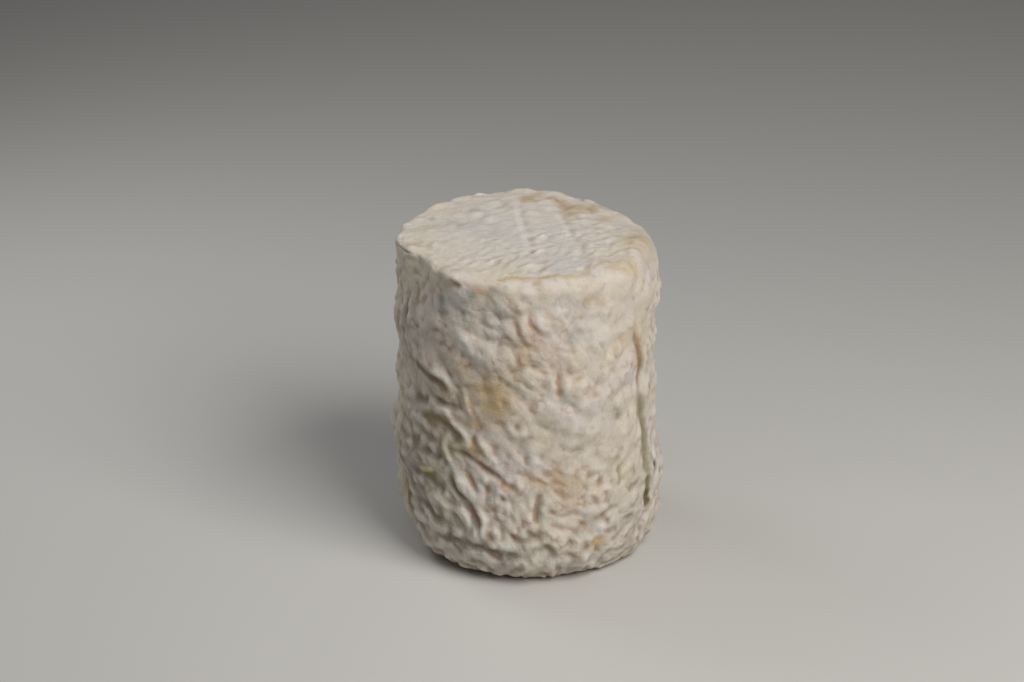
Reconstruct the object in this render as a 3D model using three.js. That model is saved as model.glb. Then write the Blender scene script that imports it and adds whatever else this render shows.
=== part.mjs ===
// Ripened goat's cheese: one tall drum of soft paste inside a wrinkled ivory rind.
// Millimetres, +Z up. The origin is the middle of the base, -Y is the front and +X the right.
import * as THREE from 'three';
import { mergeVertices } from 'three/addons/utils/BufferGeometryUtils.js';

// Driving dimensions of the drum
const HEIGHT = 82.5;
const FOOT_RADIUS = 34.0;
const WAIST_RADIUS = 32.4;
const WAIST_STARTS = 12;
const WAIST_ENDS = 48;
const FOOT_ROUND = { inward: 8.5, up: 10 };
const RIM_ROUND = { inward: 2.6, up: 2.4 };
const LEAN = { foot: 0.5, rim: -0.3 };

// The rim is crisper on the left and softer at the front right: its roundings are this share larger.
const RIM_SOFTENINGS = [
  { azimuth: -62, spread: 34, more: -0.45 },
  { azimuth: 45, spread: 34, more: 0.5 },
  { azimuth: 150, spread: 40, more: 0.2 },
];

// Bulges and hollows in the wall. The azimuth is in degrees from the front, positive to the right.
const LUMPS = [
  { azimuth: -88, height: 31, along: 16, up: 4.4, rise: 1.4 },
  { azimuth: -85, height: 22, along: 14, up: 5, rise: -0.8 },
  { azimuth: 96, height: 76, along: 20, up: 5, rise: 0.7 },
  { azimuth: 88, height: 19, along: 16, up: 8, rise: 0.6 },
  { azimuth: 25, height: 41, along: 12, up: 9, rise: 0.5 },
  { azimuth: -28, height: 66, along: 9, up: 6, rise: 0.4 },
  { azimuth: -14, height: 52, along: 6, up: 5, rise: -0.5 },
  { azimuth: 170, height: 47, along: 15, up: 9, rise: 0.7 },
  { azimuth: -140, height: 60, along: 12, up: 8, rise: -0.6 },
];

// Where the rim sags, where the wall leans in under it, and where the foot is pulled in.
const RIM_SAGS = [
  { azimuth: 118, spread: 26, drop: 1.8 },
  { azimuth: 156, spread: 16, drop: 0.5 },
  { azimuth: 180, spread: 10, drop: -0.5 },
  { azimuth: -90, spread: 30, drop: 0.2 },
];
const SHOULDERS = [
  { azimuth: 88, spread: 20, inward: 2.6, tall: 9 },
  { azimuth: -135, spread: 26, inward: 0.5, tall: 8 },
  { azimuth: -59, spread: 16, inward: 3.6, tall: 18 },
];
const FOOT_TUCKS = [
  { azimuth: -74, spread: 26, inward: 3.3, tall: 20 },
  { azimuth: -40, spread: 14, inward: 1.0, tall: 10 },
  { azimuth: -20, spread: 12, inward: 0.9, tall: 9 },
  { azimuth: 18, spread: 14, inward: 0.6, tall: 9 },
  { azimuth: 56, spread: 22, inward: -1, tall: 9 },
];

// Deep creases in the wall, each a run of [azimuth, height] points.
const CREASES = [
  { run: [[-35, 35.5], [-28, 35], [-12, 30.3], [-3, 28.5]], deep: 0.9, wide: 1.5 },
  { run: [[57, 64], [60, 50], [61, 33], [62, 15]], deep: 0.8, wide: 1.4 },
  { run: [[4, 28], [3, 24], [5, 19]], deep: 0.8, wide: 1.3 },
  { run: [[-44, 57], [-33, 50], [-26, 43]], deep: 0.6, wide: 1.4 },
  { run: [[-52, 45], [-38, 40], [-27, 38]], deep: 0.6, wide: 1.4 },
  { run: [[-11, 79], [8, 79.3], [22, 78.6], [29, 80]], deep: 0.3, wide: 1.2 },
  { run: [[176, 70], [168, 58], [172, 44]], deep: 0.7, wide: 1.4 },
  { run: [[-150, 33], [-136, 27], [-118, 25]], deep: 0.8, wide: 1.5 },
];

// Furrows across the top, from one [x, y] point to another.
const FURROWS = [
  { from: [-1.6, 27], to: [1.4, -14], deep: 0.35, wide: 1.6 },
  { from: [9.8, 17], to: [12.6, -27], deep: 0.35, wide: 1.6 },
];

// The loose folds of the rind: waves in random directions, whose sum creases where it passes zero.
const FOLD_WAVES = 16;
const FOLD_LENGTHS = [9, 16];
const FOLD_DEPTH = { wall: 0.5, top: 0.2 };
const FOLD_SOFTNESS = 0.2;
const FOLD_MIDDLE = 0.8;
const FOLD_SEED = 4127;

// The rind lies flat where the cheese stands, and its folds begin this far above the base.
const FOLDS_START = 5;

// On the top the wall's folds and creases run in over the rim, to these shares of its radius.
const FOLDS_RUN_IN = 0.8;
const CREASES_RUN_IN = 0.9;

// Faces: cells across each square end, which give as many columns to each side, and rows up the side.
const END_CELLS = 26;
const FOOT_ROWS = 6;
const WALL_ROWS = 28;
const RIM_ROWS = 4;
const SIDE_ROWS = FOOT_ROWS + WALL_ROWS + RIM_ROWS;

const DEGREE = Math.PI / 180;
const QUARTER = Math.PI / 2;
const HALF_TURN = 180;

// Points nearer together than this are one point.
const SAME_POINT = 1e-4;

function bell(distance, width) {
  return Math.exp(-((distance / width) ** 2));
}

function ease(value, start, end) {
  const t = THREE.MathUtils.clamp((value - start) / (end - start), 0, 1);
  return t * t * (3 - 2 * t);
}

// The signed turn from one azimuth to another, from -180 to 180 degrees.
function turnFrom(azimuth, other) {
  return THREE.MathUtils.euclideanModulo(azimuth - other + HALF_TURN, 2 * HALF_TURN) - HALF_TURN;
}

function arcFrom(azimuth, other) {
  return turnFrom(azimuth, other) * DEGREE * WAIST_RADIUS;
}

// The distance from a point to the nearest place on a run of straight stretches.
function distanceToRun(point, run) {
  let nearest = Infinity;
  for (let i = 1; i < run.length; i += 1) {
    const stretch = new THREE.Line3(run[i - 1], run[i]);
    const foot = stretch.closestPointToPoint(point, true, new THREE.Vector3());
    nearest = Math.min(nearest, foot.distanceTo(point));
  }
  return nearest;
}

// The wall's radius before the roundings: foot, waist, lumps, shoulders and tucks added up.
function wallRadius(azimuth, height) {
  let radius = FOOT_RADIUS - (FOOT_RADIUS - WAIST_RADIUS) * ease(height, WAIST_STARTS, WAIST_ENDS);
  for (const lump of LUMPS) {
    radius += lump.rise * bell(arcFrom(azimuth, lump.azimuth), lump.along) * bell(height - lump.height, lump.up);
  }
  for (const shoulder of SHOULDERS) {
    const share = ease(height, HEIGHT - shoulder.tall, HEIGHT);
    radius -= shoulder.inward * share * bell(turnFrom(azimuth, shoulder.azimuth), shoulder.spread);
  }
  for (const tuck of FOOT_TUCKS) {
    const share = THREE.MathUtils.clamp(1 - height / tuck.tall, 0, 1);
    radius -= tuck.inward * share * bell(turnFrom(azimuth, tuck.azimuth), tuck.spread);
  }
  return radius;
}

function rimSag(azimuth) {
  let sag = 0;
  for (const dip of RIM_SAGS) {
    sag += dip.drop * bell(turnFrom(azimuth, dip.azimuth), dip.spread);
  }
  return sag;
}

function rimSoftness(azimuth) {
  let softness = 1;
  for (const part of RIM_SOFTENINGS) {
    softness += part.more * bell(turnFrom(azimuth, part.azimuth), part.spread);
  }
  return softness;
}

// The side's outline at one azimuth: row 0 is the edge of the flat base, the last row the edge of the top.
// It gives the radius, the height, and the outward direction as { out, up }.
function sideOutline(azimuth, row) {
  const rimHeight = HEIGHT - rimSag(azimuth);
  const rimInward = RIM_ROUND.inward * rimSoftness(azimuth);
  const rimUp = RIM_ROUND.up * rimSoftness(azimuth);
  if (row < FOOT_ROWS) {
    const angle = QUARTER * row / FOOT_ROWS;
    const height = FOOT_ROUND.up * (1 - Math.cos(angle));
    const radius = wallRadius(azimuth, height) - FOOT_ROUND.inward * (1 - Math.sin(angle));
    return { radius, height, out: Math.sin(angle), up: -Math.cos(angle) };
  }
  if (row < FOOT_ROWS + WALL_ROWS) {
    const share = (row - FOOT_ROWS) / WALL_ROWS;
    const height = THREE.MathUtils.lerp(FOOT_ROUND.up, rimHeight - rimUp, share);
    return { radius: wallRadius(azimuth, height), height, out: 1, up: 0 };
  }
  const angle = QUARTER * (row - FOOT_ROWS - WALL_ROWS) / RIM_ROWS;
  const height = rimHeight - rimUp * (1 - Math.sin(angle));
  const radius = wallRadius(azimuth, height) - rimInward * (1 - Math.cos(angle));
  return { radius, height, out: Math.cos(angle), up: Math.sin(angle) };
}

// A repeatable source of random numbers between 0 and 1: each is the last times a factor, less whole moduli.
function randomSource(seed) {
  const factor = 16807;
  const modulus = 2 ** 31 - 1;
  let state = seed;
  return () => {
    state = (state * factor) % modulus;
    return state / modulus;
  };
}

function makeFoldWaves() {
  const random = randomSource(FOLD_SEED);
  const waves = [];
  for (let i = 0; i < FOLD_WAVES; i += 1) {
    const up = 2 * random() - 1;
    const around = 2 * Math.PI * random();
    const length = THREE.MathUtils.lerp(FOLD_LENGTHS[0], FOLD_LENGTHS[1], random());
    const level = Math.sqrt(1 - up * up);
    const direction = new THREE.Vector3(level * Math.cos(around), level * Math.sin(around), up);
    waves.push({ wave: direction.multiplyScalar(2 * Math.PI / length), phase: 2 * Math.PI * random() });
  }
  return waves;
}

const FOLD_FIELD = makeFoldWaves();

// Rounded swells parted by narrow valleys, where the sum of the waves changes sign.
function folds(point) {
  let sum = 0;
  for (const { wave, phase } of FOLD_FIELD) {
    sum += Math.cos(wave.dot(point) + phase);
  }
  const field = sum * Math.sqrt(2 / FOLD_WAVES);
  return Math.hypot(field, FOLD_SOFTNESS) - FOLD_MIDDLE;
}

// Creases are measured on the wall rolled out flat: arc length across, height up.
function creaseDepth(azimuth, height) {
  const here = new THREE.Vector3(0, height, 0);
  let depth = 0;
  for (const crease of CREASES) {
    const run = crease.run.map(([turn, up]) => new THREE.Vector3(-arcFrom(azimuth, turn), up, 0));
    depth += crease.deep * bell(distanceToRun(here, run), crease.wide);
  }
  return depth;
}

function furrowDepth(x, y) {
  const here = new THREE.Vector3(x, y, 0);
  let depth = 0;
  for (const furrow of FURROWS) {
    const run = [furrow.from, furrow.to].map(([a, b]) => new THREE.Vector3(a, b, 0));
    depth += furrow.deep * bell(distanceToRun(here, run), furrow.wide);
  }
  return depth;
}

// A point at an azimuth, leant sideways a little as the whole drum is.
function placeOnDrum(azimuth, radius, height) {
  const lean = THREE.MathUtils.lerp(LEAN.foot, LEAN.rim, height / HEIGHT);
  const angle = azimuth * DEGREE;
  return new THREE.Vector3(radius * Math.sin(angle) + lean, -radius * Math.cos(angle), height);
}

function sidePoint(azimuth, row) {
  const { radius, height, out, up } = sideOutline(azimuth, row);
  const point = placeOnDrum(azimuth, radius, height);
  const relief = FOLD_DEPTH.wall * folds(point) - creaseDepth(azimuth, height);
  const push = relief * ease(height, 0, FOLDS_START);
  return placeOnDrum(azimuth, radius + out * push, Math.max(0, height + up * push));
}

// The top is flat in the middle and follows the sagging rim. Its relief dies in towards the rim's own.
function topPoint(azimuth, ring) {
  const edge = sideOutline(azimuth, SIDE_ROWS);
  const point = placeOnDrum(azimuth, edge.radius * ring, HEIGHT - rimSag(azimuth) * ring * ring);
  const nearRim = ease(ring, FOLDS_RUN_IN, 1);
  const depth = THREE.MathUtils.lerp(FOLD_DEPTH.top, FOLD_DEPTH.wall, nearRim);
  const creases = creaseDepth(azimuth, edge.height) * ease(ring, CREASES_RUN_IN, 1);
  const furrows = furrowDepth(point.x, point.y) * (1 - nearRim);
  point.z += depth * folds(point) - furrows - creases;
  return point;
}

function basePoint(azimuth, ring) {
  return placeOnDrum(azimuth, sideOutline(azimuth, 0).radius * ring, 0);
}

// A point of the square end, eased into a disc: every row and column of cells bends into an arc.
// It gives the azimuth and the share of the disc's radius.
function squareToDisc(x, y) {
  const across = x * Math.sqrt(1 - y * y / 2);
  const along = y * Math.sqrt(1 - x * x / 2);
  return { azimuth: Math.atan2(across, -along) / DEGREE, ring: Math.hypot(across, along) };
}

// A box of even cells is bent into the drum: its ends become discs and its sides the wall.
function makeDrum() {
  const geometry = new THREE.BoxGeometry(2, 2, 2, END_CELLS, END_CELLS, SIDE_ROWS);
  geometry.deleteAttribute('normal');
  geometry.deleteAttribute('uv');
  const position = geometry.getAttribute('position');
  const nearlyOne = 1 - SAME_POINT;
  for (let i = 0; i < position.count; i += 1) {
    const box = new THREE.Vector3().fromBufferAttribute(position, i);
    const { azimuth, ring } = squareToDisc(box.x, box.y);
    let point = sidePoint(azimuth, SIDE_ROWS * (box.z + 1) / 2);
    if (box.z > nearlyOne) {
      point = topPoint(azimuth, ring);
    } else if (box.z < -nearlyOne) {
      point = basePoint(azimuth, ring);
    }
    position.setXYZ(i, point.x, point.y, point.z);
  }
  const closed = mergeVertices(geometry, SAME_POINT);
  closed.computeVertexNormals();
  return closed;
}

const rind = new THREE.MeshStandardMaterial({ color: 0xbdb09c, roughness: 0.78, metalness: 0 });

const drum = new THREE.Mesh(makeDrum(), rind);
drum.name = 'cheese_drum';

const cheese = new THREE.Group();
cheese.add(drum);

export default cheese;
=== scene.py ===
# %% [markdown]
# # A ripened goat's cheese
# This lesson dresses one small cheese: a tall drum of soft paste in a matt ivory rind that has wrinkled as
# it dried. The rind's ridges, creases and stains are worked out with numpy on two flat sheets, one for the
# wall rolled out and one for the top, and then wrapped round the drum. Shapes are in millimetres until the
# mesh is made. -Y is the front.

# %% Load the fixed frame
import math
import bpy
import numpy as np
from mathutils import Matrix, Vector


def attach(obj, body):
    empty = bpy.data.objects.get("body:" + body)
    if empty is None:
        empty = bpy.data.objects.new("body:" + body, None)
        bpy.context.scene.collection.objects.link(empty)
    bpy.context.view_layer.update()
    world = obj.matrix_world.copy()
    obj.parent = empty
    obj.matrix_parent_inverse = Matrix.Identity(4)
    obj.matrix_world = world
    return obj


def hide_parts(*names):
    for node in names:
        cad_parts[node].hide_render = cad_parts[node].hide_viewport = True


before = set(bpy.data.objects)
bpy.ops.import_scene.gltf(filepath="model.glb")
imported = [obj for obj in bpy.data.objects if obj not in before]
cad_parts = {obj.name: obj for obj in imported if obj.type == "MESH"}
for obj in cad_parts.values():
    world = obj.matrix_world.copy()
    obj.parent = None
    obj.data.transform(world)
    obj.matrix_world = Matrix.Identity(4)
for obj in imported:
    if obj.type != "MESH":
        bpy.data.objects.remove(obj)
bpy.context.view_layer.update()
MM = 0.001

# %% [markdown]
# ## The form of the drum
# A cheese like this is ladled into a tall mould, turned out and aged standing up. It settles: the foot
# spreads and rounds over, the waist stays narrow, and the rim keeps the mould's edge where it has not been
# rubbed. It could be sculpted, but the photograph gives its outline well enough to write it as a formula.
# The wall is a radius that depends on azimuth and height, and every bulge is one more bell curve added to
# that radius.

# %% The driving sizes
HEIGHT = 82.5
FOOT_RADIUS, WAIST_RADIUS = 34.0, 32.4
WAIST_STARTS, WAIST_ENDS = 12.0, 48.0
FOOT_IN, FOOT_UP = 8.5, 10.0
RIM_IN, RIM_UP = 2.6, 2.4
LEAN_FOOT, LEAN_RIM = 0.5, -0.3
# Bulges and hollows: azimuth in degrees from the front, height, reach along and up, and rise.
LUMPS = [
    (-88, 31, 16, 4.4, 1.4), (-85, 22, 14, 5, -0.8), (96, 76, 20, 5, 0.7), (88, 19, 16, 8, 0.6),
    (25, 41, 12, 9, 0.5), (-28, 66, 9, 6, 0.4), (-14, 52, 6, 5, -0.5), (170, 47, 15, 9, 0.7),
    (-140, 60, 12, 8, -0.6),
]
# Azimuth, spread in degrees and size: how far the rim sags, and how much rounder than plain it is.
RIM_SAGS = [(118, 26, 1.8), (156, 16, 0.5), (180, 10, -0.5), (-90, 30, 0.2)]
RIM_SOFTENINGS = [(-62, 34, -0.45), (45, 34, 0.5), (150, 40, 0.2)]
# Azimuth, spread, how far in and over what height: the wall under the rim, and the foot.
SHOULDERS = [(88, 20, 2.6, 9), (-135, 26, 0.5, 8), (-59, 16, 3.6, 18)]
FOOT_TUCKS = [(-74, 26, 3.3, 20), (-40, 14, 1.0, 10), (-20, 12, 0.9, 9), (18, 14, 0.6, 9), (56, 22, -1.0, 9)]
print("drum", HEIGHT, "mm tall and", 2 * WAIST_RADIUS, "mm across the waist, with", len(LUMPS), "lumps")


# %% Small helpers for bells, eases and turns
def bell(distance, width):
    """One at no distance, falling off as e to the minus (distance over width) squared."""
    return np.exp(-(distance / width) ** 2)


def ease(value, start, end):
    """Zero below start and one above end, with three t squared less two t cubed between them."""
    t = np.clip((value - start) / (end - start), 0, 1)
    return t * t * (3 - 2 * t)


def turn_from(azimuth, other):
    """The signed turn in degrees from one azimuth to another, from -180 to 180."""
    return (azimuth - other + 180) % 360 - 180


def around(azimuth, rows):
    """The sum of each row's size times a bell of the turn from its azimuth over its spread."""
    return sum(size * bell(turn_from(azimuth, place), spread) for place, spread, size in rows)


# %% The wall
def wall_radius(azimuth, height):
    """The foot's radius eased in to the waist's, plus the lumps' bells, less the shoulders and tucks."""
    radius = FOOT_RADIUS - (FOOT_RADIUS - WAIST_RADIUS) * ease(height, WAIST_STARTS, WAIST_ENDS)
    for place, level, along, up, rise in LUMPS:
        arc = np.radians(turn_from(azimuth, place)) * WAIST_RADIUS
        radius = radius + rise * bell(arc, along) * bell(height - level, up)
    for place, spread, inward, tall in SHOULDERS:
        near = bell(turn_from(azimuth, place), spread)
        radius = radius - inward * near * ease(height, HEIGHT - tall, HEIGHT)
    for place, spread, inward, tall in FOOT_TUCKS:
        near = bell(turn_from(azimuth, place), spread)
        radius = radius - inward * near * np.clip(1 - height / tall, 0, 1)
    return radius


print("radius at the front, before the foot is rounded:", wall_radius(0.0, 0.0).round(2), "mm")

# %% [markdown]
# ## The side as a sheet
# The side is a sheet with two parameters: the azimuth round it, and a row that climbs from the edge of the
# flat base, round the foot, up the wall and over the rim. Rows are about half a millimetre apart, so that a
# ridge three millimetres wide has six of them. Its roll height is how far up the rolled-out sheet a place
# lies.

# %% The side's outline
QUARTER = math.pi / 2
FOOT_ROWS, WALL_ROWS, RIM_ROWS = 28, 128, 10
SIDE_ROWS = FOOT_ROWS + WALL_ROWS + RIM_ROWS
FOOT_ARC = (FOOT_IN + FOOT_UP) / 2 * QUARTER
RIM_ARC = (RIM_IN + RIM_UP) / 2 * QUARTER


def side_outline(azimuth, row):
    """A quarter ellipse for the foot, a straight wall and a quarter ellipse for the rim, as the row climbs.
    Gives the radius, the height, the outward direction (out, up) and the roll height."""
    softness = 1 + around(azimuth, RIM_SOFTENINGS)
    foot = np.clip(row / FOOT_ROWS, 0, 1)
    climb = np.clip((row - FOOT_ROWS) / WALL_ROWS, 0, 1)
    rim = np.clip((row - FOOT_ROWS - WALL_ROWS) / RIM_ROWS, 0, 1)
    climbed = climb * (HEIGHT - around(azimuth, RIM_SAGS) - RIM_UP * softness - FOOT_UP)
    roll = foot * FOOT_ARC + climbed + rim * RIM_ARC
    foot, rim = foot * QUARTER, rim * QUARTER
    above = FOOT_UP + climbed + RIM_UP * softness * np.sin(rim)
    height = np.where(row < FOOT_ROWS, FOOT_UP * (1 - np.cos(foot)), above)
    inward = FOOT_IN * (1 - np.sin(foot)) + RIM_IN * softness * (1 - np.cos(rim))
    out, up = np.sin(foot) * np.cos(rim), np.sin(rim) - np.cos(foot)
    return wall_radius(azimuth, height) - inward, height, out, up, roll


def on_drum(azimuth, radius, height):
    """The point at an azimuth, radius and height, with the drum's slight sideways lean added to x."""
    angle = np.radians(azimuth)
    lean = LEAN_FOOT + (LEAN_RIM - LEAN_FOOT) * height / HEIGHT
    return np.stack([radius * np.sin(angle) + lean, -radius * np.cos(angle), height], -1)


print("the side climbs in", SIDE_ROWS, "rows")

# %% [markdown]
# ## Cells round a drum
# A drum with a fan of triangles at each end pinches at the middle, and relief looks torn there. A box of
# even cells has no such point, so a box is bent into the drum instead: its square ends are eased into
# discs, and its four sides become the wall. The columns are spaced so that they are even round the rim.

# %% The cells of the ends and the side
END_CELLS = 112
HALF_SIDE = 45


def square_to_disc(x, y):
    """A square's point moved to (x times the root of 1 - y y / 2, y times the root of 1 - x x / 2). Gives
    its azimuth and its share of the disc's radius."""
    across, along = x * np.sqrt(1 - y * y / 2), y * np.sqrt(1 - x * x / 2)
    return np.degrees(np.arctan2(across, -along)), np.hypot(across, along)


even = math.sqrt(2) * np.sin(np.radians(np.linspace(-HALF_SIDE, HALF_SIDE, END_CELLS + 1)))
end_azimuth, end_ring = square_to_disc(*np.meshgrid(even, even, indexing="ij"))
steps, first, last = np.arange(END_CELLS), np.zeros(END_CELLS, int), np.full(END_CELLS, END_CELLS)
there, back = [first, steps, last, last - steps], [steps, last, last - steps, first]
BORDER = (np.concatenate(back), np.concatenate(there))
side_azimuth = end_azimuth[BORDER]
print("columns round the wall:", side_azimuth.size)

# %% [markdown]
# ## Two flat sheets for the rind
# Wrinkles are easier to draw flat. One sheet is the wall rolled out: azimuth across, roll height up, and
# its left and right edges meet. The other is the top seen from above. Both are grids of 0.4 mm cells, fine
# enough for the narrowest crease.

# %% The sheets' grids
ROUND = 2 * math.pi * WAIST_RADIUS
WALL_COLS, WALL_LINES, WALL_LOW = 512, 256, -9.0
CELL = ROUND / WALL_COLS
TOP_CELLS = 192


def middles(count, start):
    """The middles of a row of cells that begins at the start."""
    return start + (np.arange(count) + 0.5) * CELL


WALL_SHEET = dict(u=middles(WALL_COLS, -ROUND / 2), v=middles(WALL_LINES, WALL_LOW), round=ROUND)
top_middles = middles(TOP_CELLS, -TOP_CELLS / 2 * CELL)
TOP_SHEET = dict(u=top_middles, v=top_middles, round=np.inf)


def wall_place(azimuth, height):
    """Millimetres across and up the rolled-out wall: along the foot's ellipse first, then straight up."""
    foot = np.arccos(np.clip(1 - height / FOOT_UP, -1, 1)) / QUARTER * FOOT_ARC
    return np.radians(azimuth) * WAIST_RADIUS, np.where(height < FOOT_UP, foot, height - FOOT_UP + FOOT_ARC)


def gap_across(sheet, u, other):
    """The distance across a sheet, the short way round where its edges meet."""
    gap = u - other
    if np.isfinite(sheet["round"]):
        gap = gap - sheet["round"] * np.round(gap / sheet["round"])
    return gap


print("wall sheet", WALL_LINES, "x", WALL_COLS, "cells of", round(CELL, 3), "mm")

# %% [markdown]
# ## Zones of the rind
# The rind does not wrinkle alike all over. It is crisply pleated at the lower left, soft and pillowy above,
# nearly smooth on one plateau at the front, and finely rippled at the lower right. A zone says which way
# the wrinkles run, how strongly they keep to it, how far apart they are and how deep. Between zones the
# values blend by distance.

# %% The zones of the wall and the top
# Place, spread, direction in degrees from level, keeping to it, spacing and depth share.
WALL_ZONES = [
    (-45, 72, 11, 20, .15, 3.4, .45), (-27, 66, 6, 0, 0, 4, .5), (-10, 74, 7, -30, .2, 3.6, .6),
    (5, 69, 10, -58, .3, 3.4, .52), (27, 67, 10, -66, .3, 3.4, .36), (8, 56, 7, -56, .3, 3.6, .52),
    (28, 55, 8, -45, .3, 4, .4), (-13, 53, 6, -8, .45, 2.6, .4), (-21, 61, 6, -40, .1, 2.8, .6),
    (-38, 52, 9, -40, .15, 4.2, .6), (-55, 44, 8, 12, .2, 4.2, .6), (-24, 41, 6, -52, .15, 3.8, .5),
    (-32, 27, 7, -66, .25, 3.4, .62), (-16, 19, 9, -82, .3, 3.2, .76), (4, 22, 8, -75, .2, 3.4, .7),
    (18, 43, 9, -20, .15, 3.6, .26), (33, 38, 8, 5, .2, 3, .32), (17, 30, 6, -40, .35, 3.6, .5),
    (31, 18, 9, -12, .3, 3.4, .6), (46, 14, 8, 12, .25, 3.5, .7), (52, 45, 9, 88, .35, 3, .32),
    (52, 70, 10, -25, .15, 3.2, .28), (74, 45, 16, 80, .2, 3, .5), (-62, 24, 8, -15, .15, 3.4, .6),
    (-76, 45, 12, 20, .15, 3.6, .6), (-78, 68, 12, 80, .3, 3.2, .7), (-58, 72, 9, 75, .3, 3, .6),
    (-50, 5, 8, 10, .1, 3.6, 1), (-10, 7, 9, 0, .1, 3.8, 1.1), (30, 5, 9, 0, .1, 3.6, 1.1),
    (125, 60, 16, -60, .15, 3.6, .8), (158, 28, 14, 82, .2, 3.6, .9), (-160, 62, 16, 40, .1, 3.8, .6),
    (-122, 50, 14, -35, .15, 4, .9), (-128, 20, 13, -80, .2, 3.5, .9), (105, 24, 12, 15, .2, 3, .6),
    (178, 50, 12, -20, .15, 3.6, .7),
]
# The rim is rubbed smooth all the way round, so a row of quiet zones lies just over its edge.
RIM_ZONE, ABOVE_RIM, EACH_TURN = (7, 0, .05, 3.4, .22), 1.5, 15
WALL_ZONES += [(azimuth, HEIGHT + ABOVE_RIM, *RIM_ZONE) for azimuth in range(-180, 180, EACH_TURN)]
TOP_ZONES = [
    (-12, 12, 12, 48, .3, 2.8, .35), (-18, -6, 10, 70, .35, 2.8, .8), (-6, -16, 8, 62, .5, 3, 1.2),
    (6, -6, 7, 35, .3, 2.8, 1), (4, 14, 8, 60, .3, 2.8, .5), (19, -4, 8, 62, .45, 2.8, 1.1),
    (8, -20, 8, 80, .3, 3, .8), (18, 14, 10, 30, .1, 3, .5), (0, 27, 9, 0, .2, 3, .4),
]
# Places where the crests are narrow and the hollows wide: azimuth, height and reach.
CRISP_PLACES = [(-21, 61, 5), (-46, 46, 15), (-30, 27, 12), (-14, 16, 8), (150, 55, 18), (-125, 35, 14)]
# What holds far from every zone.
QUIET = dict(weight=0.02, depth=0.6, spacing=3.3)


def zone_fields(sheet, zones):
    """Each zone's values, weighted by a bell of the distance to it and divided by the sum of the weights.
    The direction is kept as the cosine and sine of its doubled angle, so that opposite ways agree."""
    u, v = np.meshgrid(sheet["u"], sheet["v"])
    weights = np.full(u.shape, QUIET["weight"])
    fields = dict(depth=weights * QUIET["depth"], spacing=weights * QUIET["spacing"], cos2=0 * u, sin2=0 * u)
    for across, up, spread, direction, keeping, spacing, depth in zones:
        weight = bell(np.hypot(gap_across(sheet, u, across), v - up), spread)
        doubled = 2 * math.radians(direction)
        weights = weights + weight
        fields["depth"] += weight * depth
        fields["spacing"] += weight * spacing
        fields["cos2"] += weight * keeping * math.cos(doubled)
        fields["sin2"] += weight * keeping * math.sin(doubled)
    return {name: field / weights for name, field in fields.items()}


wall_zones = zone_fields(WALL_SHEET, [(*wall_place(a, z), *rest) for a, z, *rest in WALL_ZONES])
top_zones = zone_fields(TOP_SHEET, TOP_ZONES)
print("wall depth share from", wall_zones["depth"].min().round(2), "to", wall_zones["depth"].max().round(2))

# %% [markdown]
# ## Wrinkles from filtered noise
# A wrinkled skin is a surface with a favoured spacing but no order. White noise put through a band filter
# gives just that, and a filter that also favours one direction gives ripples that run along it. Eight such
# filters, mixed by how well each agrees with the zone's direction, let the ripples turn from place to
# place. Folds that wind like worms are grown from such noise, by an equation that lets one spacing swell
# and join up.

# %% Filters on a sheet
NO_WAVE = 1e-9


def waves_of(values):
    """For each term of a grid's Fourier transform, its waves per millimetre across and up."""
    lines, cols = values.shape
    return np.meshgrid(np.fft.rfftfreq(cols) / CELL, np.fft.fftfreq(lines) / CELL)


def filtered(values, keep):
    """The values with each of their waves scaled by the share that is kept of it."""
    return np.fft.irfft2(np.fft.rfft2(values) * keep, s=values.shape)


def band_noise(white, spacing, octaves, direction=None, sharpness=0.0):
    """White noise with each wave kept by a bell of its octaves from the spacing, and by how squarely it
    crosses the direction: e to the sharpness times (cosine of the doubled angle - 1). Spread of one."""
    wave_u, wave_v = waves_of(white)
    keep = bell(np.log2((np.hypot(wave_u, wave_v) + NO_WAVE) * spacing), octaves)
    if direction is not None:
        angle = np.arctan2(wave_v, wave_u) - direction - QUARTER
        keep = keep * np.exp(sharpness * (np.cos(2 * angle) - 1))
    noise = filtered(white, keep)
    return noise / noise.std()


print("waves that the wall sheet can hold:", waves_of(wall_zones["depth"])[0].size)

# %% Noise that can be steered
STEER_WAYS, STEER_SHARPNESS, STEER_BLEND, STEER_GAIN = 8, 1.4, 4.0, 2.0


def zone_direction(zones):
    """Half the angle that the doubled cosine and sine stand for, in radians."""
    return 0.5 * np.arctan2(zones["sin2"], zones["cos2"])


def steered_noise(white, spacing, octaves, zones):
    """Band noise in eight directions, mixed by e to the blend times (cosine of the doubled angle off - 1),
    and faded to plain band noise where the zone keeps to no direction."""
    keeping = np.clip(np.hypot(zones["cos2"], zones["sin2"]) * STEER_GAIN, 0, 1)
    mixed, power = 0, 0
    for way in range(STEER_WAYS):
        along = math.pi * way / STEER_WAYS
        weight = np.exp(STEER_BLEND * (np.cos(2 * (zone_direction(zones) - along)) - 1))
        mixed = mixed + weight * band_noise(white, spacing, octaves, along, STEER_SHARPNESS)
        power = power + weight ** 2
    mixed = mixed / np.sqrt(power)
    return keeping * mixed / mixed.std() + (1 - keeping) * band_noise(white, spacing, octaves)


print("directions mixed:", STEER_WAYS)

# %% Folds that grow
GROW_STEPS, GROW_STEP, GROWTH, GROWN_FROM = 24, 0.5, 0.35, 0.5


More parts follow.
